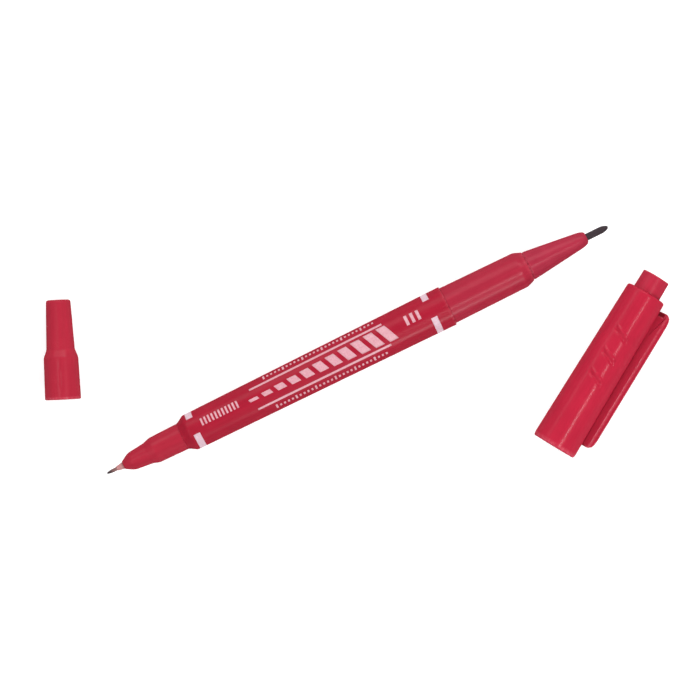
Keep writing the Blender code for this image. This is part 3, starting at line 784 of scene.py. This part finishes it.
def clip_piece(material):
    """The clip: a copy of its solid with rounded outer edges and a narrower gap to the shell."""
    place = clip_axes()
    shape = bmesh.new()
    shape.from_mesh(frame["nodes"]["big_cap_clip"].data)
    bmesh.ops.remove_doubles(shape, verts=shape.verts[:], dist=WELD)
    bmesh.ops.dissolve_limit(shape, angle_limit=STRAIGHT_TURN, verts=shape.verts[:],
                             edges=shape.edges[:])
    inner = narrow_clip_gap(shape, place)
    weld_ridge_ends(shape)
    rounds = bmesh.ops.bevel(shape, geom=clip_outer_edges(shape, inner), offset=CLIP_EDGE_ROUND,
                             offset_type="OFFSET", affect="EDGES", segments=CLIP_EDGE_STEPS,
                             profile=0.5, clamp_overlap=False)
    round_faces = set(rounds["faces"])
    worn = {vertex for vertex in rounds["verts"] if round_faces.issuperset(vertex.link_faces)}
    shape.verts.index_update()
    vertices = [vertex.co.copy() for vertex in shape.verts]
    wear_and_rim_light = [CLIP_WEAR if vertex in worn else 0.0 for vertex in shape.verts]
    faces = [[vertex.index for vertex in face.verts] for face in shape.faces]
    smooth = [face in round_faces or max(edge.calc_length() for edge in face.edges) < CLIP_RIDGE_LENGTH
              for face in shape.faces]
    shape.free()
    local = [place.inverted() @ vertex for vertex in vertices]
    clip = finished("big_cap_clip_fine", vertices, faces, local, wear_and_rim_light, material, "clip",
                    "big_cap_clip")
    clip.data.polygons.foreach_set("use_smooth", smooth)
    clip.data.set_sharp_from_angle(angle=CLIP_CRISP_TURN)


def barrel_radius(height):
    """Outside radius of the barrel's straight taper at a height on the pen."""
    share = (height - taper_front) / (taper_back - taper_front)
    return taper_front_radius + (taper_back_radius - taper_front_radius) * share


def blank_print():
    """A print without any patch yet."""
    return {"vertices": [], "faces": [], "local": []}


def print_patch(shapes, angles, low, high, steps):
    """Add one printed patch to shapes: at each angle it runs from low(angle) to high(angle) along."""
    start = len(shapes["vertices"])
    columns = steps + 1
    for lift in (PRINT_LIFT, -PRINT_SINK):
        for angle in angles:
            for height in even_steps(low(angle), high(angle), steps):
                radius = barrel_radius(height) + lift
                spot = Vector((radius * math.cos(angle), radius * math.sin(angle), height))
                shapes["local"].append(spot)
                shapes["vertices"].append(pen_place @ spot)
    rows = len(angles)
    under = rows * columns
    faces = shapes["faces"]

    def corner(row, column, layer):
        return start + layer * under + row * columns + column

    for row in range(rows - 1):
        for column in range(columns - 1):
            square = [(row, column), (row, column + 1), (row + 1, column + 1), (row + 1, column)]
            faces.append(tuple(corner(*spot, 0) for spot in square))
            faces.append(tuple(corner(*spot, 1) for spot in reversed(square)))
    rim = ([(0, column) for column in range(columns)]
           + [(row, columns - 1) for row in range(1, rows)]
           + [(rows - 1, column) for column in range(columns - 2, -1, -1)]
           + [(row, 0) for row in range(rows - 2, 0, -1)])
    for first, second in zip(rim, rim[1:] + rim[:1]):
        faces.append((corner(*second, 0), corner(*first, 0), corner(*first, 1), corner(*second, 1)))


def print_piece(name, shapes, material):
    """The printed patches as one piece on the pen."""
    wear_and_rim_light = [0.0] * len(shapes["vertices"])
    finished(name, shapes["vertices"], shapes["faces"], shapes["local"], wear_and_rim_light, material, "pen")


def barrel_bands(material):
    """The two printed rings, each open over the same stretch of the barrel."""
    shapes = blank_print()
    for start, end in BAND_SPANS:
        print_patch(shapes, even_steps(*BAND_ANGLES, BAND_STEPS),
                    lambda angle: start, lambda angle: end, BAR_STEPS)
    print_piece("barrel_bands", shapes, material)


def leaning_bar(shapes, middle, width, start, end, lean, steps):
    """A bar round the angle middle, width across, from start to end and leaning to the bullet end."""
    radius = barrel_radius(start)
    half = width / 2 / radius

    def shift(angle):
        return lean * radius * (angle - middle)

    print_patch(shapes, even_steps(middle - half, middle + half, BAR_STEPS),
                lambda angle: start + shift(angle), lambda angle: end + shift(angle), steps)


def bar_row(shapes, middle, span, widths, share, lean=0.0):
    """A row of bars round the angle middle, one for each width, that fill a share of the span."""
    start, end = span
    pitch = (end - start) / len(widths)
    for bar, width in enumerate(widths):
        low = start + bar * pitch
        leaning_bar(shapes, middle, width, low, low + pitch * share, lean, BAR_STEPS)


def barrel_gauge(material):
    """A row of leaning bars that grow to the bullet end, between stripes, scales and hatched ends."""
    shapes = blank_print()
    widths = even_steps(*GAUGE_WIDTHS, GAUGE_BARS - 1)
    bar_row(shapes, GAUGE_ANGLE, GAUGE_RANGE, widths, GAUGE_BAR_SHARE, GAUGE_LEAN)
    for angle in STRIPE_ANGLES:
        leaning_bar(shapes, angle, STRIPE_WIDTH, *STRIPE_RANGE, 0.0, STRIPE_STEPS)
    ticks = round((TICK_RANGE[1] - TICK_RANGE[0]) / TICK_PITCH)
    long_tick, short_tick = TICK_WIDTHS
    tick_widths = [short_tick if tick % TICK_GROUP else long_tick for tick in range(ticks)]
    for angle in TICK_ANGLES:
        bar_row(shapes, angle, TICK_RANGE, tick_widths, TICK_SHARE)
    for start, end, count, width in (FINE_HATCH, BROAD_HATCH):
        bar_row(shapes, HATCH_ANGLE, (start, end), [width] * count, HATCH_SHARE)
    print_piece("barrel_gauge", shapes, material)


def lamp(name, place, size, turn, radiance):
    """A level soft panel over the floor, placed from the picture's middle to its right and down."""
    data = bpy.data.lights.new(name, "AREA")
    data.shape = "RECTANGLE"
    data.size, data.size_y = size
    data.energy = radiance * math.pi * size[0] * size[1]
    panel = bpy.data.objects.new(name, data)
    panel.location = picture_middle + picture_right * place[0] - picture_up * place[1] + UP * LAMP_HEIGHT
    panel.rotation_euler = (0.0, 0.0, turn - PEN_SLOPE)
    bpy.context.scene.collection.objects.link(panel)


def studio_world():
    """A dim surround with a pale horizon."""
    world = bpy.data.worlds.new("studio")
    world.use_nodes = True
    tree = world.node_tree
    direction = tree.nodes.new("ShaderNodeSeparateXYZ")
    tree.links.new(tree.nodes.new("ShaderNodeTexCoord").outputs["Generated"], direction.inputs["Vector"])
    ramp = tree.nodes.new("ShaderNodeValToRGB")
    tree.links.new(direction.outputs["Z"], ramp.inputs["Fac"])
    bands = ramp.color_ramp.elements
    bands.remove(bands[1])
    for position, level in SURROUND_BANDS[1:]:
        bands.new(position).color = (level, level, level, 1.0)
    bands[0].position, level = SURROUND_BANDS[0]
    bands[0].color = (level, level, level, 1.0)
    tree.links.new(ramp.outputs["Color"], tree.nodes["Background"].inputs["Color"])
    bpy.context.scene.world = world


def studio_floor():
    """A large white floor. The camera sees it a little lighter, so only the shadows are grey."""
    mesh = bpy.data.meshes.new("floor")
    shape = bmesh.new()
    bmesh.ops.create_grid(shape, x_segments=2, y_segments=2, size=FLOOR_SIZE)
    shape.to_mesh(mesh)
    shape.free()
    floor = bpy.data.objects.new("floor", mesh)
    floor.location = (0.0, 0.0, -FLOOR_GAP)
    bpy.context.scene.collection.objects.link(floor)
    material, tree, shader = blank_material("floor_white")
    shader.inputs["Base Color"].default_value = FLOOR_WHITE
    shader.inputs["Roughness"].default_value = FLOOR_ROUGHNESS
    shader.inputs["Specular IOR Level"].default_value = FLOOR_SPECULAR
    shader.inputs["Emission Color"].default_value = GLOW_WHITE
    path = tree.nodes.new("ShaderNodeLightPath")
    seen = summed(tree, path.outputs["Is Camera Ray"], path.outputs["Is Glossy Ray"], "MAXIMUM")
    seen = summed(tree, seen, path.outputs["Is Transmission Ray"], "MAXIMUM")
    glow = ranged(tree, seen, UNIT_SPAN, (0.0, FLOOR_GLOW))
    tree.links.new(glow, shader.inputs["Emission Strength"])
    mesh.materials.append(material)


def studio_camera():
    """A camera straight above, at the photograph's scale and turned to its frame."""
    data = bpy.data.cameras.new("camera")
    data.sensor_width = SENSOR_WIDTH
    data.lens = SENSOR_WIDTH * CAMERA_DISTANCE * PIXELS_PER_METRE / PHOTO_SIZE
    camera = bpy.data.objects.new("camera", data)
    camera.location = picture_middle + UP * CAMERA_DISTANCE
    camera.rotation_euler = (0.0, 0.0, -PEN_SLOPE)
    bpy.context.scene.collection.objects.link(camera)
    bpy.context.scene.camera = camera


# The axis frames of the pen and the caps
pen_place = axis_place("fine_nib", PEN_FORWARD)
big_cap_place = axis_place("big_cap_shell", joint("big_cap_pull")["axis"])
small_cap_place = axis_place("small_cap", joint("small_cap_pull")["axis"])

# Heights on the pen that the finishes and relief follow
fine_tip = pen_place.translation
barrel_low, barrel_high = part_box("barrel")
sleeve_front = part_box("fine_nib_sleeve")[0].x - fine_tip.x
nose_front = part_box("fine_nib_holder")[0].x - fine_tip.x
bullet_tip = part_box("bullet_nib")[1].x - fine_tip.x
cone_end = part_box("bullet_nib_holder")[1].x - fine_tip.x
collar_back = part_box("cap_seat_collar")[1].x - fine_tip.x
barrel_back = barrel_high.x - fine_tip.x
taper_front = barrel_low.x - fine_tip.x + BARREL_SHOULDER
taper_back = barrel_back - WELD

# Radii of the barrel's taper, and above which radius a wall has relief
taper_front_radius = outer_radius("barrel", pen_place, taper_front)
taper_back_radius = outer_radius("barrel", pen_place, taper_back)
barrel_outside = taper_back_radius - WALL_SHARE
cap_outside = outer_radius("big_cap_shell", big_cap_place, RIDGE_HEIGHTS[-1]) - WALL_SHARE
small_cap_outside = outer_radius("small_cap", small_cap_place, SINK_RANGE[1]) - WALL_SHARE

# The photograph's frame on the floor
picture_right = Vector((math.cos(PEN_SLOPE), -math.sin(PEN_SLOPE), 0.0))
picture_up = Vector((math.sin(PEN_SLOPE), math.cos(PEN_SLOPE), 0.0))
picture_middle = (fine_tip
                  + picture_right * (PHOTO_SIZE / 2 - FINE_TIP_PIXEL[0]) / PIXELS_PER_METRE
                  + picture_up * (FINE_TIP_PIXEL[1] - PHOTO_SIZE / 2) / PIXELS_PER_METRE)

# The pen
turned("fine_nib", pen_place, "pen",
       fibre_nib("fine_nib_ink", INK_BLACK, INK_BROWN, FINE_INK_HEIGHT, sleeve_front, FINE_NIB_ROUGHNESS),
       step=NIB_STEP, rounding=fixed_rounding(NIB_ROUND), spacing=NIB_SPACING)
turned("fine_nib_sleeve", pen_place, "pen", resin_dark_at_base(sleeve_front, nose_front),
       step=NIB_STEP, rounding=fixed_rounding(MATING_ROUND), spacing=SLEEVE_SPACING)
turned("fine_nib_holder", pen_place, "pen", moulded_plastic(*HOLDER_RED),
       rounding=fixed_rounding(MATING_ROUND))
# The barrel, the collar and the cone get a painted highlight along a rim
turned("barrel", pen_place, "pen", moulded_plastic(*BARREL_RED),
       rounding=barrel_rounding, spacing=BARREL_SPACING,
       angles=angle_steps(ROUND_STEP, NICK_FINE_RANGE, NICK_FINE_STEP),
       relief=barrel_nick, rim=barrel_back)
turned("cap_seat_collar", pen_place, "pen", moulded_plastic(*COLLAR_RED),
       rounding=collar_rounding, rim=collar_back)
turned("bullet_nib_holder", pen_place, "pen", moulded_plastic(*CONE_RED),
       rim=collar_back)
turned("bullet_nib", pen_place, "pen",
       fibre_nib("bullet_nib_ink", FIBRE_GREY, FIBRE_GREY, bullet_tip, cone_end, BULLET_NIB_ROUGHNESS),
       step=NIB_STEP, rounding=fixed_rounding(NIB_ROUND), spacing=NIB_SPACING)
barrel_bands(print_ink("band_ink", BAND_WHITE, BAND_THIN))
barrel_gauge(print_ink("gauge_ink", GAUGE_WHITE, GAUGE_THIN))

# The caps
turned("big_cap_shell", big_cap_place, "big_cap", moulded_plastic(*BIG_CAP_RED),
       rounding=mouth_rounding, spacing=SHELL_SPACING,
       angles=angle_steps(SHELL_STEP, RIDGE_FINE_RANGE, RIDGE_FINE_STEP), relief=cap_ridges)
turned("big_cap_inner", big_cap_place, "big_cap", moulded_plastic(*INNER_CAP_RED),
       rounding=fixed_rounding(CAP_ROUND))
# The clip's darker red is painted shade
clip_piece(moulded_plastic(*SHADED_CLIP_RED))
# The small cap gets a painted highlight along its mouth's rim
turned("small_cap", small_cap_place, "small_cap", moulded_plastic(*SMALL_CAP_RED),
       step=SMALL_CAP_STEP, rounding=fixed_rounding(SMALL_CAP_ROUND),
       spacing=SMALL_CAP_SPACING, relief=cap_sinks, rim=SMALL_CAP_RIM)

# The solids inside the barrel keep their shapes and only get a finish
for node, finish in (("ink_reservoir", RESERVOIR_FINISH), ("reservoir_film", FILM_FINISH)):
    inside = frame["nodes"][node]
    inside.data.materials.clear()
    inside.data.materials.append(inner_finish(*finish))

studio_world()
studio_floor()
for settings in LAMPS:
    lamp(*settings)
studio_camera()
bpy.context.scene.view_settings.view_transform = "Standard"
